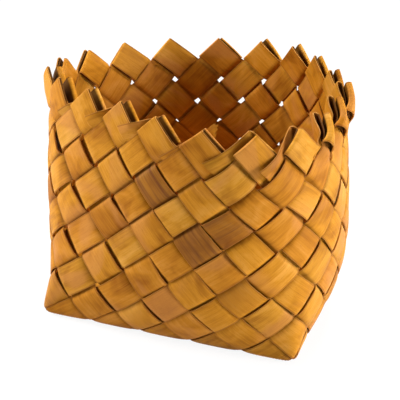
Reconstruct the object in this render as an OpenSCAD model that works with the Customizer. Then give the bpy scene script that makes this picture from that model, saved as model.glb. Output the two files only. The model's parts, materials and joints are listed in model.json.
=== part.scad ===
// Storage basket plaited on the bias from flat wood splints.
// Ten splints each way cross on a square base, turn up at its edges and climb the
// walls at 45 degrees, over one and under one. Each end folds back over the rim and
// is tucked under the next crossing, so the rim is a zigzag of folded teeth.
// Hand work and use drew it out of true, which the section of that name holds.
// Millimetres, +Z up, base on z = 0, middle of the whole at the origin.

/* [Splints] */
// Width of a splint
splint_w = 27; // [20:0.5:28.5]
// Thickness of a splint
splint_t = 1; // [0.6:0.1:1.6]
// Distance between neighbouring splints, centre to centre
splint_pitch = 30; // [29:0.5:36]
// Play between splints that cross
weave_play = 0.3; // [0.1:0.05:0.6]
// How far each woven square of the walls swells at its middle
pillow = 0.8; // [0:0.1:2]

/* [Basket] */
// Mean height of the tooth tips above the base
wall_h = 195.5; // [170:0.5:215]
// Mean diameter of the rim at the tooth tips
rim_d = 238; // [220:1:290]
// Turn of the rim against the base, in degrees
rim_twist = 5; // [0:0.5:10]
// How soon the square section turns round on the way up, as a power
round_power = 4.8; // [2:0.1:6]

/* [Out of true] */
// Sideways lean of the rim
rim_lean = 12; // [0:0.5:15]
// Direction of that lean, in degrees from +X
rim_lean_at = 182; // [-180:1:190]
// Oval of the rim, half of what it is longer one way
rim_oval = 10; // [0:0.5:15]
// Direction of its length
rim_oval_at = -45; // [-90:1:90]
// Squareness left in the rim
rim_square = 5.3; // [0:0.1:8]
// Direction of one corner of it
rim_square_at = 24; // [-45:1:45]
// Tilt of the rim, how far it rises to one side
rim_tilt = 9; // [0:0.5:15]
// Direction of that side
rim_tilt_at = 99; // [-180:1:180]
// Wave of the rim up and down, twice round
rim_wave = 6.4; // [0:0.1:8]
// Direction of a high place
rim_wave_at = 48; // [-90:1:90]
// How far the teeth slid along the rim, away from one side of it
rim_crowd = 21; // [0:0.5:24]
// Direction in which that slide is largest
rim_crowd_at = -132; // [-180:1:180]
// How far the teeth slid along the rim, twice round
rim_pinch = 10.4; // [0:0.1:14]
// Direction in which that second slide is largest
rim_pinch_at = -5; // [-90:1:90]
// Sideways lean of the wall half way up
belly_lean = 4.4; // [0:0.1:8]
// Direction of that lean
belly_lean_at = -51; // [-180:1:180]
// Three swellings of the wall half way up
belly_swell = 5.7; // [0:0.1:8]
// Direction of one of them
belly_swell_at = -44; // [-60:1:60]

/* [Rim] */
// Radius of the folds over the rim, at the middle of the splint
fold_r = 1.5; // [1:0.1:3]
// Opening between the two folded splints of a tooth
tooth_gap = 3; // [0.5:0.1:6]
// How far a folded end stops short of the far edge of the crossing that holds it
end_short = 2; // [1:0.5:8]

/* [Hidden] */
// Splints on each side of the middle, and rows of crossings from base edge to tooth
half_count = 5;
tooth_row = 9;
// Steps in the half circle of a fold
fold_steps = 4;
// Distance between the middles of two splints that cross
layer = splint_t + weave_play;
// Side of the square base
base_side = 2 * half_count * splint_pitch / sqrt(2);
// Lattice units: one column or row is half the diagonal of a woven square
side_cols = 2 * half_count;
rim_row = tooth_row + 1;
// Radius of a circle with the same way round as the base
round_r = 4 * base_side / (2 * PI);
// Height of the middle of the weave where it lies on the ground
floor_z = layer / 2 + splint_t / 2;
// Row below which a point counts as lying on the base edge
edge_tol = 0.001;

// Tones of the stained wood
honey = "#c98a35";
amber = "#b3752a";
straw = "#d9a552";
umber = "#8a5420";

// Small helpers
function unit(v) = v / norm(v);
function mix(a, b, f) = a + (b - a) * f;
function even(n) = abs(n) % 2 == 0;
function reversed(list) = [for (i = [len(list) - 1:-1:0]) list[i]];
function turned(p, a) = [p[0] * cos(a) - p[1] * sin(a), p[0] * sin(a) + p[1] * cos(a)];

// Corner of the base square, counted anticlockwise from the front left
function base_corner(i) = turned([-base_side / 2, -base_side / 2], 90 * i);

// Point of the square outline at a lattice column
function square_at(col) =
    let (side = floor(col / side_cols))
    mix(base_corner(side), base_corner(side + 1), col / side_cols - side);

// Directions to a place on the wall and along the wall
function ray(a) = [cos(a), sin(a)];
function around(a) = [-sin(a), cos(a)];

// A number of even waves round the wall, and a ring bent by them without stretch
function wave(size, count, a, at) = size * cos(count * (a - at));
function bent(size, count, a, at) =
    wave(size, count, a, at) * ray(a) - size / count * sin(count * (a - at)) * around(a);

// How far the rim and the middle of the wall were drawn out of true
function rim_drift(a) =
    rim_lean * ray(rim_lean_at)
    + bent(rim_oval, 2, a, rim_oval_at)
    + bent(rim_square, 4, a, rim_square_at)
    + (wave(rim_crowd, 1, a, rim_crowd_at) + wave(rim_pinch, 2, a, rim_pinch_at)) * around(a);
function belly_drift(a) =
    belly_lean * ray(belly_lean_at) + bent(belly_swell, 3, a, belly_swell_at);
function rim_rise(a) = wave(rim_tilt, 1, a, rim_tilt_at) + wave(rim_wave, 2, a, rim_wave_at);

// Middle of the weave on the walls: square at the base, round at the rim
function wall_at(col, row) =
    let (
        rise = row / rim_row,
        squareness = pow(max(0, 1 - rise), round_power),
        turn = rim_twist * rise,
        a = 90 * col / side_cols - 135 + turn,
        ring = mix(round_r, rim_d / 2, rise) * ray(a),
        flat = mix(ring, turned(square_at(col), turn), squareness)
            + rise * rise * rim_drift(a) + 4 * rise * (1 - rise) * belly_drift(a)
    )
    [flat[0], flat[1], mix(floor_z, wall_h, rise) + rise * rise * rim_rise(a)];

// Outward direction of the wall
function wall_out(col, row) =
    let (
        step = 0.3,
        along = wall_at(col + step, row) - wall_at(col - step, row),
        up = wall_at(col, row + step) - wall_at(col, max(0, row - step))
    )
    unit(cross(along, up));

// Outward direction where wall and base meet, as long as a mitre needs
function edge_out(col) =
    let (out = wall_out(col, 0), down = [0, 0, -1])
    (out + down) / (1 + out * down);

// Point of the flat mat, x across a splint and y along it, after quarter turns of
// the splint brought into the basket and lifted off the middle of the weave to the outside
function woven(turns, x, y, lift) =
    let (
        row = (x + abs(y)) / splint_pitch - half_count,
        ahead = y < 0
            ? (x + y) / splint_pitch + half_count
            : (y - x) / splint_pitch + half_count + side_cols,
        col = ahead + side_cols * turns,
        flat = turned([x, y], 90 * turns - 45)
    )
    row < -edge_tol ? [flat[0], flat[1], floor_z - lift]
    : row < edge_tol ? wall_at(col, 0) + lift * edge_out(col)
    : wall_at(col, row) + lift * wall_out(col, row);

// A splint is numbered by its place from the middle, k, and its crossings by n.
// Both ends fold away from the splint they share a tooth with: the far end inwards,
// the near end outwards.
function splint_x(k) = (k + 0.5) * splint_pitch;
function crossing_y(n) = (n + 0.5) * splint_pitch;
function first_crossing(k) = k - half_count - tooth_row;
function last_crossing(k) = half_count - 1 - k + tooth_row;

// Row of a crossing on the walls, or -1 on the base
function row_of(k, n) = max(-1, n + k - half_count + 1, k - half_count - n);

// Distance of a splint from the middle of the weave, doubled where ends are tucked in
function depth_at(row) =
    row == tooth_row ? (layer + tooth_gap) / 2
    : row == tooth_row - 1 ? 1.5 * layer
    : layer / 2;
function outside(k, n) = even(n + k) ? 1 : -1;
function swell_at(row) = row > 0 ? pillow : 0;

// A ring across the splint: place along it and lift, for its outer and its inner face
function ring(y, lift, face) = [y, lift + face * splint_t / 2, y, lift - face * splint_t / 2];

function crossing_rings(k, n) =
    let (lift = outside(k, n) * depth_at(row_of(k, n)))
    [for (e = [-1, 1]) ring(crossing_y(n) + e * splint_w / 2, lift, 1)];

// Rings of the fold and the tucked end, from the tooth outwards and back
function end_rings(k, end) =
    let (
        fold = -end,
        tooth_y = half_count * splint_pitch - splint_x(k) + tooth_row * splint_pitch,
        held_y = tooth_y - splint_pitch,
        edge = tooth_y + splint_w / 2,
        lift = fold * depth_at(tooth_row),
        inner = fold_r - fold * splint_t / 2,
        outer = fold_r + fold * splint_t / 2,
        held_lift = fold * (layer - depth_at(tooth_row - 1))
    )
    concat(
        [for (i = [1:fold_steps])
            let (a = 180 * i / fold_steps)
            [
                end * (edge + inner * sin(a)), lift + fold * (fold_r - inner * cos(a)),
                end * (edge + outer * sin(a)), lift + fold * (fold_r - outer * cos(a))
            ]
        ],
        [
            ring(end * (tooth_y - splint_w / 2), lift + fold * layer, -1),
            ring(end * (held_y + splint_w / 2), held_lift, -1),
            ring(end * (held_y - splint_w / 2 + end_short), held_lift, -1)
        ]
    );

// Corners of one ring, once round the section of the splint
function ring_points(k, turns, r) =
    let (a = splint_x(k) - splint_w / 2, b = splint_x(k) + splint_w / 2)
    [
        woven(turns, a, r[0], r[1]), woven(turns, b, r[0], r[1]),
        woven(turns, b, r[2], r[3]), woven(turns, a, r[2], r[3])
    ];

// Middle of a woven square on both faces
function middle_points(k, turns, n) =
    let (
        row = row_of(k, n),
        lift = outside(k, n) * (depth_at(row) + swell_at(row))
    )
    [for (f = [1, -1]) woven(turns, splint_x(k), crossing_y(n), lift + f * splint_t / 2)];

// Four sides of a square face, fanned round its middle
function fan(c, quad) = [for (i = [0:3]) [c, quad[i], quad[(i + 1) % 4]]];
function halves(q) = [[q[0], q[1], q[2]], [q[0], q[2], q[3]]];
function side_quad(m, i) = [4 * m + i, 4 * m + (i + 1) % 4, 4 * m + 4 + (i + 1) % 4, 4 * m + 4 + i];

// Rings of a splint from end to end, and all corners of it
function splint_rings(k) = concat(
    reversed(end_rings(k, -1)),
    [for (n = [first_crossing(k):last_crossing(k)]) each crossing_rings(k, n)],
    end_rings(k, 1)
);
function splint_points(k, turns) = concat(
    [for (r = splint_rings(k)) each ring_points(k, turns, r)],
    [for (n = [first_crossing(k):last_crossing(k)]) each middle_points(k, turns, n)]
);

// Middle of the whole basket, seen from above
all_points = [for (turns = [0:3]) for (k = [0:half_count - 1]) each splint_points(k, turns)];
function middle_of(axis) =
    let (places = [for (p = all_points) p[axis]])
    (min(places) + max(places)) / 2;
middle = [middle_of(0), middle_of(1), 0];

// One splint from end to end
module splint_blank(k, turns) {
    first = first_crossing(k);
    last = last_crossing(k);
    lead = fold_steps + 3;
    count = len(splint_rings(k));
    points = [for (p = splint_points(k, turns)) p - middle];
    // Segments that are woven squares have a swollen middle on both faces
    function square_no(m) =
        let (q = m - lead)
        q >= 0 && even(q) && q / 2 <= last - first ? q / 2 : -1;
    sides = [for (m = [0:count - 2]) for (i = [0:3])
        let (s = square_no(m))
        each s >= 0 && even(i) ? fan(4 * count + 2 * s + i / 2, side_quad(m, i)) : halves(side_quad(m, i))
    ];
    tail = 4 * (count - 1);
    caps = concat(halves([1, 0, 3, 2]), halves([tail, tail + 1, tail + 2, tail + 3]));
    polyhedron(points, concat(sides, caps));
}

// Splint number i of one way, 1 to 10 across the base
module splint(i, quarter_turn) {
    far = i > half_count;
    k = far ? i - half_count - 1 : half_count - i;
    splint_blank(k, quarter_turn + (far ? 0 : 2));
}

module warp_splint_01() { color(straw) splint(1, 0); }
module warp_splint_02() { color(honey) splint(2, 0); }
module warp_splint_03() { color(honey) splint(3, 0); }
module warp_splint_04() { color(amber) splint(4, 0); }
module warp_splint_05() { color(straw) splint(5, 0); }
module warp_splint_06() { color(straw) splint(6, 0); }
module warp_splint_07() { color(amber) splint(7, 0); }
module warp_splint_08() { color(honey) splint(8, 0); }
module warp_splint_09() { color(amber) splint(9, 0); }
module warp_splint_10() { color(honey) splint(10, 0); }
module weft_splint_01() { color(amber) splint(1, 1); }
module weft_splint_02() { color(amber) splint(2, 1); }
module weft_splint_03() { color(honey) splint(3, 1); }
module weft_splint_04() { color(straw) splint(4, 1); }
module weft_splint_05() { color(straw) splint(5, 1); }
module weft_splint_06() { color(umber) splint(6, 1); }
module weft_splint_07() { color(honey) splint(7, 1); }
module weft_splint_08() { color(amber) splint(8, 1); }
module weft_splint_09() { color(honey) splint(9, 1); }
module weft_splint_10() { color(straw) splint(10, 1); }

warp_splint_01();
warp_splint_02();
warp_splint_03();
warp_splint_04();
warp_splint_05();
warp_splint_06();
warp_splint_07();
warp_splint_08();
warp_splint_09();
warp_splint_10();
weft_splint_01();
weft_splint_02();
weft_splint_03();
weft_splint_04();
weft_splint_05();
weft_splint_06();
weft_splint_07();
weft_splint_08();
weft_splint_09();
weft_splint_10();
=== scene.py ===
"""Storage basket plaited on the bias from stained wood splints, dressed for rendering."""
import json
import math
from typing import NamedTuple

import bmesh
import bpy
import numpy as np
from mathutils import Matrix, Vector


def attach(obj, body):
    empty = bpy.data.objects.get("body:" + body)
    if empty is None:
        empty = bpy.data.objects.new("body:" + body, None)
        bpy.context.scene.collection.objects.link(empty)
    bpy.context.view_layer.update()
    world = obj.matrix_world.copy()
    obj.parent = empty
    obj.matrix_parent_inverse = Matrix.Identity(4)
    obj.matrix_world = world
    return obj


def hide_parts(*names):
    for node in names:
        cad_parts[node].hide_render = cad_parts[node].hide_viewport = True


bl_info = {
    "name": "Plaited Splint Basket",
    "version": (1, 0, 0),
    "blender": (4, 5, 0),
    "location": "View3D > Sidebar > Basket",
    "description": "Weaves a square-based splint basket with a folded zigzag rim",
    "category": "Add Mesh",
}

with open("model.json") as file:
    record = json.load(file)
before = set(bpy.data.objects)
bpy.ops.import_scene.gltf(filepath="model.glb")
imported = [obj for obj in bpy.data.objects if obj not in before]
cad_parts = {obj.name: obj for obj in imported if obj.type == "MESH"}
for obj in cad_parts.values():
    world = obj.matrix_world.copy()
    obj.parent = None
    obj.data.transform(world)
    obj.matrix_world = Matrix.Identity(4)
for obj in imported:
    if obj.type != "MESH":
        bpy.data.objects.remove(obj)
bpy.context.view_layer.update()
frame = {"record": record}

MM = 0.001
# Splints on each side of the middle, and rows of crossings from the base edge to a tooth
HALF_COUNT = 5
TOOTH_ROW = 9
RIM_ROW = TOOTH_ROW + 1
SIDE_COLS = 2 * HALF_COUNT
ALL_COLS = 4 * SIDE_COLS
QUARTER = math.pi / 2
# Direction of the front left corner of the base, from which columns are counted
FIRST_COL_AT = -0.75 * math.pi
# Samples that round a base corner by averaging, and how suddenly the base is drawn in to it, as a power
EASE_STEPS = 31
CORNER_PULL = 6
# Distance over which the slide of a crossing fades, in steps of the lattice
SLIDE_REACH = 2.0
# Rows below a tooth where its turn starts
TURN_ROWS = 1.2
# Row up to which the weave is beaten tight, and rows over which it loosens above
TIGHT_ROW = 4.8
LOOSER_ROWS = 1.4
# Where a slipped tail starts to ride up, from the middle of its line, and over what, in widths
RIDE_FROM = 0.40
RIDE_OVER = 0.45
# Grid squares across a splint
ACROSS = 16
# Share of a strip's thickness that its worn edge takes at most, and the least angle that counts as an edge
EDGE_SHARE = 0.3
EDGE_ANGLE = math.radians(50)
# Distance along one long plank between the starts of two splints, in metres
PLANK_STEP = 1.37


class Slide(NamedTuple):
    """A crossing that slid along the wall and took its neighbours with it, in steps of the lattice."""
    col: int
    row: int
    along: float
    up: float


SLIDES = (
    Slide(3, 4, 0.2, 0.2),
    Slide(3, 1, 0.1, -0.1),
    Slide(8, 3, -0.2, -0.2),
    Slide(8, 8, 0.0, -0.3),
    Slide(8, 10, 0.0, 0.2),
    Slide(11, 7, 0.2, 0.0),
    Slide(-2, 6, -0.5, -0.2),
    Slide(-2, 3, -0.4, -0.2),
    Slide(27, 6, 0.1, -0.2),
    Slide(22, 8, -0.2, 0.2),
    Slide(14, 10, -0.5, 0.2),
    Slide(18, 10, 0.5, -0.3),
)


class Tooth(NamedTuple):
    """One folded tooth, in millimetres.

    Left is the splint that leans left on its way up, seen from outside, and right the other one.
    """
    gap: float = 1.5  # opening between the two folded splints
    left_r: float = 0.8  # fold radii
    right_r: float = 0.8
    left_end: float = 11.0  # how far a folded end passes the middle of the crossing below
    right_end: float = 0.0
    slip: float = 0.0  # how far the right tail slips off its line at the fold, and at its end
    end_slip: float = 3.0
    ride: float = 5.0  # how far the slipped side rides up on its neighbour
    bow: float = 0.0  # how far the right tail stands off half way down
    rise: float = 0.0  # how far the right splint stands out over its tail, at the crossing below
    taut: float = 0.0  # 0 where the right tail follows the weave, 1 where it runs straight
    turn: float = 0.0  # how far the whole tooth turned about its upright line, in degrees


# Teeth by lattice column, from the front left corner anticlockwise
TEETH = {
    0: Tooth(gap=3.6, right_r=1.6, end_slip=6),
    2: Tooth(gap=3.6, right_r=1.6, end_slip=12),
    4: Tooth(gap=3.6, right_r=1.6, end_slip=15),
    6: Tooth(gap=1.2, left_r=1.0, right_r=1.2, right_end=6, slip=1, end_slip=4),
    8: Tooth(gap=1.2, left_r=1.1, right_r=1.4, right_end=3, slip=7, end_slip=14, ride=4, rise=3, taut=0.8),
    10: Tooth(gap=1.5, left_r=1.6, right_r=2.0, right_end=6, slip=5, end_slip=14, ride=6, rise=4, taut=0.8),
    12: Tooth(gap=1.5, left_r=2.4, right_r=2.4, left_end=-4, slip=3, end_slip=5, bow=2, turn=30),
    14: Tooth(gap=1.5, left_r=2.2, right_r=2.4, left_end=-2, slip=2, end_slip=4, bow=2, turn=25),
    16: Tooth(gap=1.5, left_r=2.2, right_r=2.2, left_end=-2, slip=2, end_slip=4, bow=1, turn=15),
    18: Tooth(gap=2.0, left_r=1.8, right_r=1.2, slip=1, end_slip=4),
    20: Tooth(gap=3.4, left_r=1.8),
    22: Tooth(gap=3.4, left_r=1.6),
    24: Tooth(gap=2.5, left_r=1.3),
    26: Tooth(end_slip=2),
    28: Tooth(),
    30: Tooth(end_slip=2),
    32: Tooth(gap=2.5, left_r=1.1, right_r=1.2, end_slip=4),
    34: Tooth(gap=2.5, left_r=1.1, right_r=1.2),
    36: Tooth(gap=4.5, right_r=2.0, end_slip=4, turn=17),
    38: Tooth(gap=4.5, right_r=1.8, end_slip=4),
}


class Stain(NamedTuple):
    """A dark stain along one splint, in millimetres from its outer cut end."""
    number: int  # the splint's place from the middle, and its quarter turns
    turns: int
    start: float
    end: float
    fade: float  # length over which it thins out at its end
    share: float  # 1 where it covers the wood
    onset: float = 20.0  # length over which it sets in at its start


STAINS = (Stain(0, 1, 95, 290, 90, 0.7), Stain(4, 3, 535, 600, 30, 0.55))
# How strongly the bands of the grain streak a stain
STAIN_STREAKS = 1.2


class Figure(NamedTuple):
    """One layer of the wood's figure, as noise that is stretched along the splint."""
    across: float  # features for each metre across the splint, and along it
    along: float
    detail: float
    rough: float = 0.55
    warp: float = 0.0
    share: float = 0.0  # how much of it goes into the tone


BROAD = Figure(9, 11, 1, share=0.75)
MOTTLE = Figure(52, 34, 2, 0.5, 0.7, share=0.8)
BANDS = Figure(300, 13, 3, 0.6, 0.5, share=0.40)
FIBRES = Figure(1300, 30, 3, 0.65, share=0.38)
PORES = Figure(2800, 180, 1)
THIN_STAIN = Figure(24, 15, 2, 0.5, 0.8)
# Deep and pale wood, as shares of a splint's own tone, and where the three stand on the scale of the figure
DEEP = (0.50, 0.38, 0.30)
PALE = (1.28, 1.46, 3.6)
DEEP_AT, TONE_AT, PALE_AT = 0.12, 0.52, 0.92
# Where on its noise a thin patch of stain or a pore starts and is full, and how strongly it shows
THIN_FADE = (0.52, 0.72, 0.55)
PORE_FADE = (0.62, 0.78, 0.4)
PORE_DENT = (0.6, 0.8)
# Stain gathered along a long edge with painted seam shade, and the worn edge: from and to how far inside it,
# and how strongly
STAIN_AND_SEAM_SHADE = (1.4 * MM, 0.5 * MM, 0.72)
WORN = (0.5 * MM, 0.1 * MM, 0.45)
WORN_WOOD = (0.56, 0.27, 0.06)
# Relief of the grain: its height and strength, and the shares of fibres and bands in it
GRAIN_HEIGHT = 0.5 * MM
GRAIN_STRENGTH = 0.25
FIBRE_RELIEF, BAND_RELIEF = 0.7, 0.3
# Roughness of the wood, and what fibres and mottle add to it
ROUGH, FIBRE_ROUGH, MOTTLE_ROUGH = 0.38, 0.18, 0.10
# Share of the deep wood's colour that is left in full shade, and how far the shade goes towards it
SHADE_LEFT = 0.25
SHADE_DEPTH = 0.85


class Lamp(NamedTuple):
    """A soft lamp round the basket."""
    name: str  # also the stage's value that holds its power
    azimuth: float  # degrees from the right towards the front, and degrees up
    elevation: float
    distance: float  # metres from the middle of the basket
    size: tuple  # metres


LAMPS = (
    Lamp("key", 4, 14, 1.3, (0.6, 0.5)),
    Lamp("fill", 169, 30, 1.3, (0.7, 0.5)),
    Lamp("front", 80, 14, 1.6, (1.0, 0.6)),
    Lamp("top", 270, 72, 1.4, (0.6, 0.5)),
)
LAMP_AIM = Vector((0.0, 0.0, 0.1))
# Floor: half of its side in metres, and the metres over which the basket's shadow fades into white
FLOOR_HALF = 4.0
SHADOW_FROM, SHADOW_TO = 0.15, 0.6
# Share of the glow in the floor's white close to the basket, where its shadow shows, and the glow's strength
GLOW_SHARE = 0.86
GLOW = 1.06
PAPER = (0.9, 0.9, 0.9)
WHITE = (1.0, 1.0, 1.0)


def length(name, text, value, **more):
    """A size in metres, shown in the sidebar."""
    return bpy.props.FloatProperty(
        name=name, description=text, default=value, subtype="DISTANCE", unit="LENGTH", precision=5, **more)


def colour(name, text, value):
    """A linear colour, shown in the sidebar."""
    return bpy.props.FloatVectorProperty(
        name=name, description=text, default=value, subtype="COLOR", size=3, min=0.0, max=1.0)


def number(name, text, value, **more):
    """A plain number, shown in the sidebar."""
    return bpy.props.FloatProperty(name=name, description=text, default=value, precision=4, **more)


def angle(name, text, degrees):
    """An angle, shown in the sidebar."""
    return bpy.props.FloatProperty(
        name=name, description=text, default=math.radians(degrees), subtype="ANGLE", unit="ROTATION")


def place(name, text, value):
    """A place in metres, shown in the sidebar."""
    return bpy.props.FloatVectorProperty(
        name=name, description=text, default=value, subtype="TRANSLATION", unit="LENGTH", size=len(value))


class BasketShape(bpy.types.PropertyGroup):
    """Form of the woven wall."""
    pitch: length("Pitch", "Distance between neighbouring splints", 30 * MM)
    wall_h: length("Height", "Mean height of the tooth tips", 195.5 * MM)
    rim_d: length("Rim", "Mean diameter of the rim at the tooth tips", 238 * MM)
    round_power: number("Rounding", "How soon the square section turns round", 4.8)
    corner_ease: number("Corner ease", "Columns over which a base corner is rounded", 0.28)
    edge_ease: length("Edge ease", "Softness of the bend from base to wall", 2.2 * MM)
    twist: angle("Twist", "Turn of the rim against the base", 5)
    base_at: place("Base place", "Where the middle of the base lies", (5.24 * MM, -1.64 * MM))


class DriftShape(bpy.types.PropertyGroup):
    """How hand work and use drew the basket out of true."""
    share: number("Share", "Share of the drift, 0 for a regular basket", 1.0, min=0.0, max=1.5)
    rim_lean: length("Rim lean", "Sideways lean of the rim", 12 * MM)
    rim_lean_at: angle("Rim lean at", "Direction of the lean", 182)
    rim_oval: length("Rim oval", "Half of what the rim is longer one way", 10 * MM)
    rim_oval_at: angle("Rim oval at", "Direction of its length", -45)
    rim_square: length("Rim squareness", "Squareness left in the rim", 5.3 * MM)
    rim_square_at: angle("Rim squareness at", "Direction of one corner of it", 24)
    rim_tilt: length("Rim tilt", "How far the rim rises to one side", 9 * MM)
    rim_tilt_at: angle("Rim tilt at", "The side that rises", 99)
    rim_wave: length("Rim wave", "Wave of the rim up and down, twice round", 6.4 * MM)
    rim_wave_at: angle("Rim wave at", "Direction of a high place", 48)
    rim_crowd: length("Rim crowding", "How far the teeth slid along the rim, away from one side", 21 * MM)
    rim_crowd_at: angle("Rim crowding at", "Where the slide is largest", -132)
    rim_pinch: length("Rim pinch", "How far the teeth slid along the rim, twice round", 10.4 * MM)
    rim_pinch_at: angle("Rim pinch at", "Where that slide is largest", -5)
    belly_lean: length("Belly lean", "Sideways lean of the wall half way up", 4.4 * MM)
    belly_lean_at: angle("Belly lean at", "Direction of that lean", -51)
    belly_swell: length("Belly swell", "Three swellings of the wall half way up", 5.7 * MM)
    belly_swell_at: angle("Belly swell at", "Direction of one of them", -44)


class SplintShape(bpy.types.PropertyGroup):
    """Form of one splint."""
    width: length("Width", "Width of a splint at the rim", 26.4 * MM)
    base_width: length("Base width", "Width on the base and low walls, where the weave is tight", 28.6 * MM)
    thick: length("Thickness", "Thickness of a splint", 1.0 * MM)
    lift: length("Lift", "Height of the weave over the middle of the wall", 2.3 * MM)
    crown: length("Crown", "Bulge across each splint where it lies on top", 0.5 * MM)
    edge_lift: number("Edge lift", "Share of the lift that is left where the weave bends up", 0.6)
    crisp: number("Crispness", "How sharply a splint dips between crossings", 3.0)
    held_crisp: number("Held crispness", "The same where folded ends are held", 4.0)
    play: length("Play", "Room between the layers of a folded end", 0.22 * MM)
    wander: length("Wander", "How far a splint strays from its line", 0.5 * MM)
    edge_round: length("Edge rounding", "Worn rounding of the long edges", 0.22 * MM)


class RimShape(bpy.types.PropertyGroup):
    """Form of the folded teeth."""
    openness: number("Openness", "Share of each tooth's opening and fold", 1.0, min=0.3, max=1.5)
    tail_shift: number("Tail shift", "Share of each tail's slip off its line", 1.0, min=0.0, max=1.2)
    tail_ride: number("Tail ride", "Share of a slipped tail's ride on its neighbour", 1.0, min=0.0, max=1.2)


class WoodLook(bpy.types.PropertyGroup):
    """Colours of the stained wood."""
    honey: colour("Honey", "Most of the splints", (0.505, 0.208, 0.0140))
    amber: colour("Amber", "Deeper splints", (0.470, 0.182, 0.0125))
    straw: colour("Straw", "Paler splints", (0.505, 0.222, 0.0190))
    umber: colour("Umber", "Where a splint is stained dark", (0.150, 0.048, 0.0120))
    rose: colour("Rose", "Patches where the stain is thin", (0.500, 0.205, 0.0520))
    sheen: number("Sheen", "Strength of the wood's satin shine", 0.06, min=0.0, max=1.0)


class StageLook(bpy.types.PropertyGroup):
    """Light and camera."""
    key: number("Key light", "Power of the light from the right, in watts", 19.8)
    fill: number("Fill light", "Power of the light from the left, in watts", 22.5)
    front: number("Front light", "Power of the light from the front, in watts", 0.4)
    top: number("Top light", "Power of the light from above, in watts", 28.0)
    ambient: number("Ambient", "Strength of the even light all round", 0.115)
    ambient_tint: colour("Ambient tint", "Colour of the even light all round", (1.0, 0.86, 0.66))
    eye: place("Camera place", "Where the camera stands", (0.17121, -0.64491, 0.34615))
    azimuth: angle("Azimuth", "Turn of the view about the vertical", 14.87)
    elevation: angle("Elevation", "How far the camera looks down", 21.80)
    roll: angle("Roll", "Turn of the camera about its own view", 3.54)
    sensor: number("Sensor", "Width of the camera's sensor, in millimetres", 36.0)
    lens: number("Lens", "Focal length of the camera, in millimetres", 72.84)


# The woven surface. Plan positions are complex numbers, x + iy.

def smooth_step(value):
    """Eases from 0 to 1."""
    value = np.clip(value, 0, 1)
    return value * value * (3 - 2 * value)


def softened(value, ease):
    """The positive part of a value, with its corner at zero rounded."""
    return 0.5 * (value + np.sqrt(value * value + ease * ease))


def square_plan(cols, side):
    """Outline of the base at lattice columns, counted anticlockwise from the front left corner."""
    sides = np.mod(cols, ALL_COLS) / SIDE_COLS
    turn = np.floor(sides)
    along = sides - turn - 0.5
    return side * (along - 0.5j) * 1j ** turn


def eased_plan(cols, side, ease):
    """The same outline with its corners rounded by averaging along it."""
    steps = np.linspace(-ease, ease, EASE_STEPS)
    return sum(square_plan(cols + step, side) for step in steps) / len(steps)


def heading(cols):
    """Direction from the middle of the basket to a lattice column."""
    return np.exp(1j * (2 * math.pi * cols / ALL_COLS + FIRST_COL_AT))


def cols_away(cols, col):
    """Columns from a given one, the shorter way round."""
    return np.mod(cols - col + ALL_COLS / 2, ALL_COLS) - ALL_COLS / 2


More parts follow.
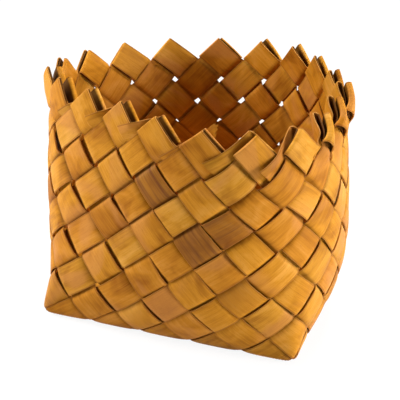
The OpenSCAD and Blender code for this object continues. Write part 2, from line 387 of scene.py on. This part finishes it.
class Weave:
    """Maps the flat mat to the basket: x across a splint, y along it, both in metres."""

    def __init__(self, shape, drift, splint):
        self.shape = shape
        self.drift = drift
        self.splint = splint
        self.base_at = complex(*shape.base_at)
        self.pitch = shape.pitch
        self.side = SIDE_COLS * shape.pitch / math.sqrt(2)
        self.round_r = 4 * self.side / (2 * math.pi)
        self.row_h = shape.pitch / math.sqrt(2)
        self.floor_z = splint.lift + splint.crown + splint.thick / 2
        self.rise_scale = (shape.wall_h - self.floor_z) / (RIM_ROW * self.row_h)

    def outward(self, cols):
        """Outward direction of the eased base outline."""
        ease = self.shape.corner_ease
        step = 0.05
        along = eased_plan(cols + step, self.side, ease) - eased_plan(cols - step, self.side, ease)
        return -1j * along / np.abs(along)

    def wall(self, cols, rows):
        """Middle of the weave on the walls."""
        shape, drift = self.shape, self.drift
        rise = rows / RIM_ROW
        squareness = np.maximum(0, 1 - rise) ** shape.round_power
        turned = np.exp(1j * shape.twist * rise)
        facing = heading(cols) * turned
        radius = self.round_r + (shape.rim_d / 2 - self.round_r) * rise
        plan = squareness * eased_plan(cols, self.side, shape.corner_ease) * turned
        plan = plan + (1 - squareness) * radius * facing

        def wave(name, count):
            return getattr(drift, name) * (facing * np.exp(-1j * getattr(drift, name + "_at"))) ** count

        def bent(name, count):
            waves = wave(name, count)
            return facing * (waves.real - 1j * waves.imag / count)

        def lean(name):
            return getattr(drift, name) * np.exp(1j * getattr(drift, name + "_at"))

        slid = wave("rim_crowd", 1).real + wave("rim_pinch", 2).real
        rim = lean("rim_lean") + bent("rim_oval", 2) + bent("rim_square", 4) + 1j * facing * slid
        belly = lean("belly_lean") + bent("belly_swell", 3)
        plan = plan + drift.share * (rise ** 2 * rim + 4 * rise * (1 - rise) * belly)
        raised = drift.share * rise ** 2 * (wave("rim_tilt", 1).real + wave("rim_wave", 2).real)
        height = rows * self.row_h
        plan = plan - self.outward(cols) * softened(-height, shape.edge_ease)
        return plan, self.floor_z + softened(height, shape.edge_ease) * self.rise_scale + raised

    def base(self, plan):
        """Middle of the weave on the base, with its edges turned up."""
        half = self.side / 2
        tiny, on_edge = 1e-6, 0.99999
        reach = np.maximum(np.abs(plan.real), np.abs(plan.imag)) / half
        edge = plan / np.maximum(reach, tiny)
        x, y = edge.real / half, edge.imag / half
        sides = (y <= -on_edge, x >= on_edge, y >= on_edge)
        along = ((x + 1) / 2, 1 + (y + 1) / 2, 2 + (1 - x) / 2)
        cols = np.select(sides, along, 3 + (1 - y) / 2) * SIDE_COLS
        pull = np.clip(reach, 0, 1) ** CORNER_PULL
        plan = plan + pull * (eased_plan(cols, self.side, self.shape.corner_ease) - edge)
        height = (reach - 1) * half
        bent = softened(height, self.shape.edge_ease)
        flat = softened(np.full_like(height, -half), self.shape.edge_ease)
        rise = np.maximum(bent - flat, 0)
        return plan - self.outward(cols) * rise, self.floor_z + rise * self.rise_scale

    def lattice(self, turns, x, y):
        """Column and row of mat points of a splint that is turned by quarter turns."""
        rows = (x + np.abs(y)) / self.pitch - HALF_COUNT
        near = (x + y) / self.pitch + HALF_COUNT
        far = (y - x) / self.pitch + HALF_COUNT + SIDE_COLS
        return np.where(y < 0, near, far) + SIDE_COLS * turns, rows

    def slide(self, turns, x, y):
        """How far the crossings near mat points slid along the wall, in columns and rows."""
        cols, rows = self.lattice(turns, x, y)
        along, up = np.zeros_like(rows), np.zeros_like(rows)
        for slid in SLIDES:
            away = cols_away(cols, slid.col)
            near = np.exp(-(away ** 2 + (rows - slid.row) ** 2) / SLIDE_REACH ** 2)
            along += slid.along * near
            up += slid.up * near
        fade = smooth_step(rows) * self.drift.share
        return along * fade, up * fade

    def point(self, turns, x, y, slide):
        """Middle of the weave at mat points."""
        cols, rows = self.lattice(turns, x, y)
        wall_plan, wall_z = self.wall(cols + slide[0], np.maximum(rows + slide[1], 0))
        flat = (x + 1j * y) * np.exp(-0.25j * math.pi) * 1j ** turns
        base_plan, base_z = self.base(flat)
        plan = np.where(rows >= 0, wall_plan, base_plan) + self.base_at
        return np.stack([plan.real, plan.imag, np.where(rows >= 0, wall_z, base_z)], axis=-1)

    def turned(self, turns, x, y):
        """How far mat points move outward where a whole tooth turned about its upright line."""
        cols, rows = self.lattice(turns, x, y)
        out = np.zeros_like(rows)
        for col, tooth in TEETH.items():
            away = cols_away(cols, col)
            out -= math.tan(math.radians(tooth.turn)) * away * np.exp(-away ** 4) * self.row_h
        return out * smooth_step(rows - TOOTH_ROW + TURN_ROWS) * self.drift.share

    def lifted(self, turns, x, y, lift, slide):
        """Mat points brought into the basket and lifted off the middle of the weave."""
        step = 0.4 * MM
        across = self.point(turns, x + step, y, slide) - self.point(turns, x - step, y, slide)
        along = self.point(turns, x, y + step, slide) - self.point(turns, x, y - step, slide)
        out = np.cross(along, across)
        out /= np.linalg.norm(out, axis=-1, keepdims=True)
        return self.point(turns, x, y, slide) + lift[..., None] * out


class SplintRun:
    """One splint from cut end to cut end, as places along it, lifts and slips off its line."""

    # Mesh rows: their distance along the splint, and how many a fold has
    ROW_STEP = 1.6 * MM
    FOLD_ROWS = 14
    # Layers that a splint lies off the middle where it holds folded ends
    HELD_LAYERS = 1.5
    # Rows over which the weave is flatter near the base edge, and stands out over a tail
    BEND_ROWS = 0.9
    STAND_ROWS = 0.55
    # Where a tooth covers its splint: widths below its middle, and the length over which the painted shade
    # sets in
    COVER_FROM = 0.44
    COVER_FADE = 3 * MM
    # Painted shade in a seam, and the lift over which it fades
    SEAM_SHADE = 0.65
    SEAM_LIFT = 0.5 * MM
    # Turn of a fold, in radians, at which it comes out of the shade
    FOLD_SHADE_TURN = 0.9
    # Shade of a straight tail, in the pocket under its tooth, and the share of its length where it sets in
    TAIL_SHADE = 0.35
    TAIL_SHADE_OVER = 0.3
    # Widths below a fold at which its opening has closed
    CLOSED_AT = 1.25
    # Slip of every left tail at its end, in millimetres
    LEFT_END_SLIP = -1
    # Share of a tail's length where it starts to ride up, over what, and over what more where it is straight
    TAIL_RIDE_FROM = 0.12
    TAIL_RIDE_OVER = 0.40
    TAUT_RIDE_OVER = 0.45
    # Share of the rise of the splint above it that lifts the end of a straight tail
    TUCK_RISE = 0.6
    # Wander: lengths of its two waves, their shares, and how their phase goes on from splint to splint
    LONG_WAVE, SHORT_WAVE = 71 * MM, 29 * MM
    LONG_SHARE, SHORT_SHARE = 0.6, 0.4
    PHASE_STEP, SHORT_PHASE = 2.4, 1.7

    def __init__(self, weave, rim, number, turns):
        self.weave = weave
        self.rim = rim
        self.number = number
        self.turns = turns
        pitch = weave.pitch
        self.x0 = (number + 0.5) * pitch
        self.tooth_y = (HALF_COUNT + TOOTH_ROW) * pitch - self.x0
        self.edge_y = self.tooth_y + weave.splint.width / 2
        self.layer = weave.splint.thick + weave.splint.play

    def tooth(self, end):
        """The tooth that an end folds over: the right splint's end is 1, the left splint's -1."""
        edge_col = 2 * self.number + 1
        col = (2 * SIDE_COLS - edge_col + TOOTH_ROW) if end > 0 else (edge_col - TOOTH_ROW)
        return TEETH[(col + SIDE_COLS * self.turns) % ALL_COLS]

    def gap(self, end):
        """Opening of that tooth."""
        return self.tooth(end).gap * MM * self.rim.openness

    def rows_up(self, y):
        """Row of the lattice that the middle of the splint is in."""
        return np.abs(y) / self.weave.pitch - (HALF_COUNT - self.number - 0.5)

    def depth(self, y):
        """Distance of the splint from the middle of the weave where it lies flat."""
        splint = self.weave.splint
        rows = self.rows_up(y)
        tooth = (np.where(y > 0, self.gap(1), self.gap(-1)) + self.layer) / 2
        held = self.HELD_LAYERS * self.layer
        low = splint.lift * (1 - (1 - splint.edge_lift) * np.exp(-(rows / self.BEND_ROWS) ** 2))
        below = low + (held - low) * np.clip(rows - TOOTH_ROW + 2, 0, 1)
        above = held + (tooth - held) * smooth_step(rows - TOOTH_ROW + 1)
        return np.where(rows > TOOTH_ROW - 1, above, below)

    def lift(self, y):
        """Over one and under one along the splint."""
        splint = self.weave.splint
        held_rows = [TOOTH_ROW - 2, TOOTH_ROW - 1.5]
        crisp = np.interp(self.rows_up(y), held_rows, [splint.crisp, splint.held_crisp])
        inner = np.clip(y, -self.tooth_y, self.tooth_y)
        wave = np.sin(math.pi * inner / self.weave.pitch) * (-1) ** self.number
        return self.depth(y) * np.tanh(crisp * wave) / np.tanh(crisp)

    def bulge(self, y):
        """Way that the crown of the splint bulges: outward over a crossing, inward under one."""
        return np.tanh(self.lift(y) / self.weave.splint.crown)

    def near_below(self, y):
        """1 in the middle of the crossing below a tooth, fading along the splint."""
        return np.exp(-((self.rows_up(y) - TOOTH_ROW + 1) / self.STAND_ROWS) ** 2)

    def covered(self, y):
        """1 where a tooth covers the splint on both sides, where shade is painted on it."""
        start = self.COVER_FROM * self.weave.splint.width
        return smooth_step((np.abs(y) - self.tooth_y + start) / self.COVER_FADE)

    def diving(self, y):
        """Painted shade in the seam where the splint dives under the next one."""
        return self.SEAM_SHADE * np.exp(-(self.lift(y) / self.SEAM_LIFT) ** 2)

    def rows(self):
        """Mesh rows from cut end to cut end, and how far along the splint each one is.

        A row is its place along the mat, its lift, its slip off the splint's line, how far its slipped side
        rides up, the way that its crown bulges, and its shade.
        """
        count = round(2 * self.edge_y / self.ROW_STEP)
        y = np.linspace(-self.edge_y, self.edge_y, count + 1)
        zero = np.zeros_like(y)
        lift = self.lift(y) + np.where(y > 0, self.tooth(1).rise * MM, 0) * self.near_below(y)
        shade = np.maximum(self.covered(y), self.diving(y))
        main = np.stack([y, lift, zero, zero, self.bulge(y), shade], axis=-1)
        path = np.concatenate([self.end_rows(-1)[::-1], main, self.end_rows(1)])
        steps = np.linalg.norm(np.diff(path[:, :2], axis=0), axis=1)
        return path, np.concatenate([[0.0], np.cumsum(steps)])

    def end_rows(self, end):
        """Mesh rows of the fold and the tucked end, from the tooth back down."""
        tooth, rim, side = self.tooth(end), self.rim, -end
        sizes = (
            (tooth.right_r, tooth.right_end, tooth.slip, tooth.end_slip, tooth.ride, tooth.bow, tooth.rise)
            if end > 0 else (tooth.left_r, tooth.left_end, 0, self.LEFT_END_SLIP, 0, 0, 0))
        radius, past, slip, end_slip, ride, bow, rise = (MM * size for size in sizes)
        taut = tooth.taut if end > 0 else 0.0
        radius = max(radius * rim.openness, self.layer / 2)
        slip, end_slip = slip * rim.tail_shift, end_slip * rim.tail_shift

        bend = np.linspace(0, math.pi, self.FOLD_ROWS + 1)[1:]
        edge_lift = self.lift(np.array([end * self.edge_y]))[0]
        fold = np.stack([
            end * (self.edge_y + radius * np.sin(bend)),
            edge_lift + side * radius * (1 - np.cos(bend)),
            slip * bend / math.pi,
            np.zeros_like(bend),
            np.sign(edge_lift) * np.abs(np.cos(bend)),
            1 - smooth_step(bend / self.FOLD_SHADE_TURN),
        ], axis=-1)

        tail_end = self.tooth_y - self.weave.pitch - past
        count = round((self.edge_y - tail_end) / self.ROW_STEP)
        back = np.linspace(self.edge_y, tail_end, count + 1)[1:]
        down = (self.edge_y - back) / (self.edge_y - tail_end)
        opening = 1 - smooth_step((self.edge_y - back) / (self.CLOSED_AT * self.weave.splint.width))
        space = self.layer + (2 * radius - self.layer) * opening
        space = space + bow * rim.openness * np.sin(math.pi * down)
        lift = self.lift(end * back) + side * space
        folded, tucked = edge_lift + side * 2 * radius, lift[-1] + self.TUCK_RISE * rise
        ride_over = self.TAIL_RIDE_OVER + self.TAUT_RIDE_OVER * taut
        tail = np.stack([
            end * back,
            lift + taut * (folded + (tucked - folded) * down - lift),
            slip + (end_slip - slip) * down,
            ride * rim.tail_ride * smooth_step((down - self.TAIL_RIDE_FROM) / ride_over),
            self.bulge(end * back),
            self.TAIL_SHADE * taut * smooth_step(down / self.TAIL_SHADE_OVER),
        ], axis=-1)
        return np.concatenate([fold, tail])

    def strays(self, y):
        """Sideways wander of a hand-laid splint."""
        phase = self.PHASE_STEP * (HALF_COUNT * self.turns + self.number)
        long_wave = self.LONG_SHARE * np.sin(y / self.LONG_WAVE + phase)
        short_wave = self.SHORT_SHARE * np.sin(y / self.SHORT_WAVE + self.SHORT_PHASE * phase)
        return self.weave.splint.wander * (long_wave + short_wave)


# Pieces

def splint_name(number, turns):
    """Name of the splint at a place from the middle, after quarter turns."""
    way = "warp" if turns % 2 == 0 else "weft"
    return "%s_splint_%02d" % (way, HALF_COUNT + 1 + number if turns < 2 else HALF_COUNT - number)


def slot_of(name):
    """Material slot of a splint in the record."""
    return next(part["material_slot"] for part in frame["record"]["subparts"] if part["node"] == name)


def grain_offset(number, turns):
    """Where along one long plank a splint's grain starts, in metres."""
    return PLANK_STEP * (HALF_COUNT * turns + number)


def splint_run(scene, number, turns):
    """The run of one splint through the weave."""
    weave = Weave(scene.basket_shape, scene.basket_drift, scene.basket_splint)
    return SplintRun(weave, scene.basket_rim, number, turns)


def strip_piece(context, name, across, rows, shape, thick, material):
    """A strip of splint: a grid whose points, grain and shade come from shape(share across, row)."""
    bm = bmesh.new()
    bmesh.ops.create_grid(bm, x_segments=across, y_segments=rows, size=1.0)
    grid = np.array([v.co[:2] for v in bm.verts])
    places, grain, shade = shape(grid[:, 0], np.rint((grid[:, 1] + 1) / 2 * rows).astype(int))
    grain_layer = bm.loops.layers.uv.new("Grain")
    shade_layer = bm.loops.layers.uv.new("Shade")
    for vert, spot in zip(bm.verts, places):
        vert.co = spot
    for face in bm.faces:
        face.smooth = True
        for loop in face.loops:
            loop[grain_layer].uv = grain[loop.vert.index]
            loop[shade_layer].uv = (shade[loop.vert.index], 0.0)
    mesh = bpy.data.meshes.new(name)
    bm.to_mesh(mesh)
    bm.free()
    mesh.materials.append(material)
    piece = bpy.data.objects.new(name, mesh)
    context.scene.collection.objects.link(piece)
    shell = piece.modifiers.new("Thickness", "SOLIDIFY")
    shell.thickness = thick
    shell.offset = 0.0
    edge = piece.modifiers.new("Worn edges", "BEVEL")
    edge.width = min(context.scene.basket_splint.edge_round, EDGE_SHARE * thick)
    edge.segments = 2
    edge.limit_method = "ANGLE"
    edge.angle_limit = EDGE_ANGLE
    edge.harden_normals = True
    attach(piece, "root")
    return piece


def weave_splint(context, number, turns):
    """Builds one splint, which follows its run through the weave."""
    splint = context.scene.basket_splint
    run_of = splint_run(context.scene, number, turns)
    weave = run_of.weave
    path, run = run_of.rows()

    def shape(share, row):
        y, lift, slip, ride, bulge, shade = path[row].T
        tight = 1 - smooth_step((run_of.rows_up(y) - TIGHT_ROW) / LOOSER_ROWS)
        half = (splint.width + (splint.base_width - splint.width) * tight) / 2
        off = share * half + slip
        x = run_of.x0 + off + run_of.strays(y)
        crown = splint.crown * (1 - share ** 2) * bulge
        ride = ride * smooth_step((off - RIDE_FROM * splint.width) / (RIDE_OVER * splint.width))
        slide = weave.slide(turns, run_of.x0 + 0 * y, y)
        grain = np.stack([share * splint.width / 2, run[row] + grain_offset(number, turns)], axis=-1)
        raised = lift + crown + ride + weave.turned(turns, x, y)
        return weave.lifted(turns, x, y, raised, slide), grain, shade

    name = splint_name(number, turns)
    wood = wood_for(context, number, turns)
    piece = strip_piece(context, name + "_weave", ACROSS, len(path) - 1, shape, splint.thick, wood)
    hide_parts(name)
    slot_of(name)


def torn_fibres(context):
    """A torn sliver that stands up behind one tooth, where its right-leaning splint split."""
    number, turns = 1, 2
    # How far its fibres reach past the fold, from one side of the sliver to the other
    ends = np.array([7.0, 11.0, 9.5, 12.0, 8.0, 9.0, 4.0, 5.5, 1.0]) * MM
    rows = 6
    # Half its width, its distance from the splint's edge, and its length below the fold
    half, inset, root = 4.5 * MM, 5.0 * MM, 9.0 * MM
    # How far it stands behind the splint, at its foot and more at its tip, and its share of the thickness
    behind, lean = 2.6 * MM, 1.5 * MM
    thinness = 0.4
    splint = context.scene.basket_splint
    run_of = splint_run(context.scene, number, turns)
    weave = run_of.weave

    def shape(share, row):
        column = np.rint((share + 1) / 2 * (len(ends) - 1)).astype(int)
        up = row / rows
        x = run_of.x0 + splint.width / 2 - inset - share * half
        y = run_of.edge_y - root + up * (root + ends[column])
        lift = run_of.lift(run_of.edge_y + 0 * y) - (behind + lean * up)
        grain = np.stack([share * half, y + grain_offset(number, turns)], axis=-1)
        return weave.lifted(turns, x, y, lift, weave.slide(turns, run_of.x0 + 0 * y, y)), grain, 0 * y

    wood = wood_for(context, number, turns)
    piece = strip_piece(context, "torn_fibres", len(ends) - 1, rows, shape, thinness * splint.thick, wood)
    slot_of(splint_name(number, turns))


# Materials. A Wire wraps a socket, so shader maths reads as Python.

class Wire:
    """A socket of a material's node tree, with arithmetic."""

    def __init__(self, tree, socket):
        self.tree = tree
        self.socket = socket

    def math(self, operation, other=0.0, swap=False):
        pair = (other, self) if swap else (self, other)
        return node(self.tree, "ShaderNodeMath", {"operation": operation}, {0: pair[0], 1: pair[1]})

    def __add__(self, other):
        return self.math("ADD", other)

    def __radd__(self, other):
        return self.math("ADD", other, True)

    def __sub__(self, other):
        return self.math("SUBTRACT", other)

    def __rsub__(self, other):
        return self.math("SUBTRACT", other, True)

    def __mul__(self, other):
        return self.math("MULTIPLY", other)


def node(tree, kind, settings=None, sockets=None, out=0):
    """Adds a node, sets its settings first, then its sockets, and returns one output."""
    made = tree.nodes.new(kind)
    for name, value in (settings or {}).items():
        if name == "stops":
            ramp = made.color_ramp
            while len(ramp.elements) < len(value):
                ramp.elements.new(0.5)
            for element, (spot, tone) in zip(ramp.elements, value):
                element.position = spot
                element.color = (*tone, 1.0)
        else:
            setattr(made, name, value)
    for name, value in (sockets or {}).items():
        if isinstance(value, Wire):
            tree.links.new(value.socket, made.inputs[name])
        elif isinstance(value, tuple) and made.inputs[name].type == "RGBA":
            made.inputs[name].default_value = (*value, 1.0)
        else:
            made.inputs[name].default_value = value
    return Wire(tree, made.outputs[out])


def bare_tree(holder):
    """The empty node tree of a material or a world."""
    holder.use_nodes = True
    holder.node_tree.nodes.clear()
    return holder.node_tree


def finish_tree(tree, kind, surface):
    """Joins a shader to the tree's output."""
    output = tree.nodes.new(kind)
    tree.links.new(surface.socket, output.inputs["Surface"])


def mix_colour(tree, share, a, b):
    """Mixes two colours by a share."""
    settings = {"data_type": "RGBA", "blend_type": "MIX"}
    return node(tree, "ShaderNodeMix", settings, {0: share, 6: a, 7: b}, out=2)


def eased(tree, value, low, high, top=1.0):
    """Eases from 0 at a low value to top at a high one."""
    sockets = {"Value": value, "From Min": low, "From Max": high, "To Max": top}
    return node(tree, "ShaderNodeMapRange", {"interpolation_type": "SMOOTHSTEP"}, sockets)


def mapped(tree, uv_map, axis):
    """One axis of a UV map."""
    uv = node(tree, "ShaderNodeUVMap", {"uv_map": uv_map})
    return node(tree, "ShaderNodeSeparateXYZ", None, {0: uv}, axis)


def stained_wood(name, look, tone, half_width, stains):
    """Stained splint wood: fibres along the splint, mottled stain, paler cut edges, dark stretches, and
    painted shade from the Shade map.
    """
    material = bpy.data.materials.new(name)
    tree = bare_tree(material)
    across, along = mapped(tree, "Grain", "X"), mapped(tree, "Grain", "Y")
    shade = mapped(tree, "Shade", "X")

    def noise(figure):
        spread = {"X": across * figure.across, "Y": along * figure.along}
        return node(tree, "ShaderNodeTexNoise", {"noise_dimensions": "2D"}, {
            "Vector": node(tree, "ShaderNodeCombineXYZ", None, spread), "Scale": 1.0,
            "Detail": figure.detail, "Roughness": figure.rough, "Distortion": figure.warp})

    mottle, bands, fibres, pores = noise(MOTTLE), noise(BANDS), noise(FIBRES), noise(PORES)
    value = 0.5 + (noise(BROAD) - 0.5) * BROAD.share
    for layer, figure in ((mottle, MOTTLE), (bands, BANDS), (fibres, FIBRES)):
        value = value + (layer - 0.5) * figure.share
    deep = tuple(c * f for c, f in zip(tone, DEEP))
    pale = tuple(min(1.0, c * f) for c, f in zip(tone, PALE))
    stops = ((DEEP_AT, deep), (TONE_AT, tone), (PALE_AT, pale))
    base = node(tree, "ShaderNodeValToRGB", {"stops": stops}, {"Fac": value})
    base = mix_colour(tree, eased(tree, noise(THIN_STAIN), *THIN_FADE), base, tuple(look.rose))
    for stain in stains:
        dark = stain_share(tree, stain, along) * (stain.share + (bands - 0.5) * STAIN_STREAKS)
        base = mix_colour(tree, dark, base, tuple(look.umber))
    base = mix_colour(tree, eased(tree, pores, *PORE_FADE), base, deep)
    base = edge_stain_and_shade(tree, base, across.math("ABSOLUTE"), half_width, deep)
    # Painted shade: the Shade map darkens seams, covered stretches, the start of each fold and straight
    # tails towards the deep wood
    base = mix_colour(tree, shade * SHADE_DEPTH, base, tuple(SHADE_LEFT * c for c in deep))

    height = fibres * FIBRE_RELIEF + bands * BAND_RELIEF - eased(tree, pores, *PORE_DENT)
    bump = node(tree, "ShaderNodeBump", None, {
        "Strength": GRAIN_STRENGTH, "Distance": GRAIN_HEIGHT, "Height": height})
    roughness = ROUGH + fibres * FIBRE_ROUGH + mottle * MOTTLE_ROUGH
    surface = node(tree, "ShaderNodeBsdfPrincipled", None, {
        "Base Color": base, "Roughness": roughness, "Normal": bump, "Specular IOR Level": look.sheen})
    finish_tree(tree, "ShaderNodeOutputMaterial", surface)
    return material


def stain_share(tree, stain, along):
    """1 along the stretch of a splint that is stained dark."""
    first = grain_offset(stain.number, stain.turns)
    start, end = first + stain.start * MM, first + stain.end * MM
    sets_in = eased(tree, along, start, start + stain.onset * MM)
    return sets_in * (1 - eased(tree, along, end - stain.fade * MM, end))


def edge_stain_and_shade(tree, base, aside, half_width, deep):
    """Darkens the wood along both long edges, partly gathered stain and partly painted seam shade, and pales
    the worn edges themselves.
    """
    # The first band is gathered stain together with painted shade of the seams; the second pales the worn
    # edges
    for (start, full, share), wood in ((STAIN_AND_SEAM_SHADE, deep), (WORN, WORN_WOOD)):
        shown = eased(tree, aside, half_width - start, half_width - full, share)
        base = mix_colour(tree, shown, base, wood)
    return base


def wood_for(context, number, turns):
    """The stained wood of a splint's slot, made once."""
    look = context.scene.basket_wood
    slot = slot_of(splint_name(number, turns))
    name = "stained_" + slot
    found = bpy.data.materials.get(name)
    if found is None:
        tone = {"umber_wood": "honey"}.get(slot, slot.replace("_wood", ""))
        stains = [stain for stain in STAINS if slot_of(splint_name(stain.number, stain.turns)) == slot]
        half_width = context.scene.basket_splint.width / 2
        found = stained_wood(name, look, tuple(getattr(look, tone)), half_width, stains)
    return found


def seen_directly(tree):
    """1 for rays from the camera, mirrors and clear materials."""
    rays = tree.nodes.new("ShaderNodeLightPath")
    seen = Wire(tree, rays.outputs["Is Camera Ray"])
    for kind in ("Is Glossy Ray", "Is Transmission Ray"):
        seen = seen.math("MAXIMUM", Wire(tree, rays.outputs[kind]))
    return seen


def white_paper():
    """Floor that is white to the camera, apart from the shadow close to the basket."""
    material = bpy.data.materials.new("white_paper")
    tree = bare_tree(material)
    paper = node(tree, "ShaderNodeBsdfDiffuse", None, {"Color": PAPER})
    glow = node(tree, "ShaderNodeEmission", None, {"Color": WHITE, "Strength": GLOW})
    spot = node(tree, "ShaderNodeTexCoord", out="Object")
    away = node(tree, "ShaderNodeVectorMath", {"operation": "LENGTH"}, {0: spot}, out="Value")
    lit = node(tree, "ShaderNodeMapRange", None, {
        "Value": away, "From Min": SHADOW_FROM, "From Max": SHADOW_TO, "To Min": GLOW_SHARE})
    both = node(tree, "ShaderNodeMixShader", None, {0: seen_directly(tree) * lit, 1: paper, 2: glow})
    finish_tree(tree, "ShaderNodeOutputMaterial", both)
    return material


# Steps

class BASKET_OT_warp(bpy.types.Operator):
    """Weave the splints of the first way"""
    bl_idname = "basket.warp"
    bl_label = "Warp Splints"

    def execute(self, context):
        for turns in (0, 2):
            for number in range(HALF_COUNT):
                weave_splint(context, number, turns)
        return {"FINISHED"}


class BASKET_OT_weft(bpy.types.Operator):
    """Weave the splints of the second way"""
    bl_idname = "basket.weft"
    bl_label = "Weft Splints"

    def execute(self, context):
        for turns in (1, 3):
            for number in range(HALF_COUNT):
                weave_splint(context, number, turns)
        return {"FINISHED"}


class BASKET_OT_torn(bpy.types.Operator):
    """Add the torn sliver behind one tooth"""
    bl_idname = "basket.torn"
    bl_label = "Torn Fibres"

    def execute(self, context):
        torn_fibres(context)
        return {"FINISHED"}


class BASKET_OT_stage(bpy.types.Operator):
    """Set the floor, the light and the camera"""
    bl_idname = "basket.stage"
    bl_label = "Stage"

    def execute(self, context):
        scene = context.scene
        scene.view_settings.view_transform = "Standard"
        self.floor(scene)
        self.world(scene)
        for lamp in LAMPS:
            self.lamp(scene, lamp)
        self.camera(scene)
        return {"FINISHED"}

    def floor(self, scene):
        bm = bmesh.new()
        bmesh.ops.create_grid(bm, x_segments=1, y_segments=1, size=FLOOR_HALF)
        mesh = bpy.data.meshes.new("floor")
        bm.to_mesh(mesh)
        bm.free()
        mesh.materials.append(white_paper())
        floor = bpy.data.objects.new("floor", mesh)
        scene.collection.objects.link(floor)

    def world(self, scene):
        look = scene.basket_stage
        scene.world = bpy.data.worlds.new("studio")
        tree = bare_tree(scene.world)
        tint = tuple(look.ambient_tint)
        even = node(tree, "ShaderNodeBackground", None, {"Color": tint, "Strength": look.ambient})
        white = node(tree, "ShaderNodeBackground", None, {"Color": WHITE, "Strength": 1.0})
        both = node(tree, "ShaderNodeMixShader", None, {0: seen_directly(tree), 1: even, 2: white})
        finish_tree(tree, "ShaderNodeOutputWorld", both)

    def lamp(self, scene, lamp):
        light = bpy.data.lights.new(lamp.name + "_light", "AREA")
        light.shape = "RECTANGLE"
        light.size, light.size_y = lamp.size
        light.energy = getattr(scene.basket_stage, lamp.name)
        turn, rise = math.radians(lamp.azimuth), math.radians(lamp.elevation)
        away = Vector((math.cos(turn) * math.cos(rise), -math.sin(turn) * math.cos(rise), math.sin(rise)))
        holder = bpy.data.objects.new(light.name, light)
        holder.location = LAMP_AIM + away * lamp.distance
        holder.rotation_euler = away.to_track_quat("Z", "Y").to_euler()
        scene.collection.objects.link(holder)

    def camera(self, scene):
        look = scene.basket_stage
        lens = bpy.data.cameras.new("view")
        lens.sensor_width = look.sensor
        lens.lens = look.lens
        lens.clip_start = 10 * MM
        camera = bpy.data.objects.new("view", lens)
        turn = Matrix.Rotation(look.azimuth, 4, "Z") @ Matrix.Rotation(QUARTER - look.elevation, 4, "X")
        turn = turn @ Matrix.Rotation(look.roll, 4, "Z")
        camera.matrix_world = Matrix.Translation(Vector(look.eye)) @ turn
        scene.collection.objects.link(camera)
        scene.camera = camera


class BASKET_PT_sidebar(bpy.types.Panel):
    """Sizes, colours and steps of the basket"""
    bl_idname = "BASKET_PT_sidebar"
    bl_label = "Splint Basket"
    bl_space_type = "VIEW_3D"
    bl_region_type = "UI"
    bl_category = "Basket"

    def draw(self, context):
        for title, name, _ in GROUPS:
            box = self.layout.box()
            box.label(text=title)
            group = getattr(context.scene, name)
            for prop in group.bl_rna.properties:
                if prop.identifier not in {"rna_type", "name"}:
                    box.prop(group, prop.identifier)
        for step in STEPS:
            self.layout.operator(step.bl_idname)


GROUPS = (
    ("Basket", "basket_shape", BasketShape),
    ("Out of true", "basket_drift", DriftShape),
    ("Splints", "basket_splint", SplintShape),
    ("Rim", "basket_rim", RimShape),
    ("Wood", "basket_wood", WoodLook),
    ("Stage", "basket_stage", StageLook),
)
STEPS = (BASKET_OT_warp, BASKET_OT_weft, BASKET_OT_torn, BASKET_OT_stage)


def register():
    for _, name, group in GROUPS:
        bpy.utils.register_class(group)
        setattr(bpy.types.Scene, name, bpy.props.PointerProperty(type=group))
    for step in STEPS:
        bpy.utils.register_class(step)
    bpy.utils.register_class(BASKET_PT_sidebar)


def unregister():
    bpy.utils.unregister_class(BASKET_PT_sidebar)
    for step in reversed(STEPS):
        bpy.utils.unregister_class(step)
    for _, name, group in reversed(GROUPS):
        delattr(bpy.types.Scene, name)
        bpy.utils.unregister_class(group)


def main():
    register()
    bpy.ops.basket.warp()
    bpy.ops.basket.weft()
    bpy.ops.basket.torn()
    bpy.ops.basket.stage()
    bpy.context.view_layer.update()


if __name__ == "__main__":
    main()
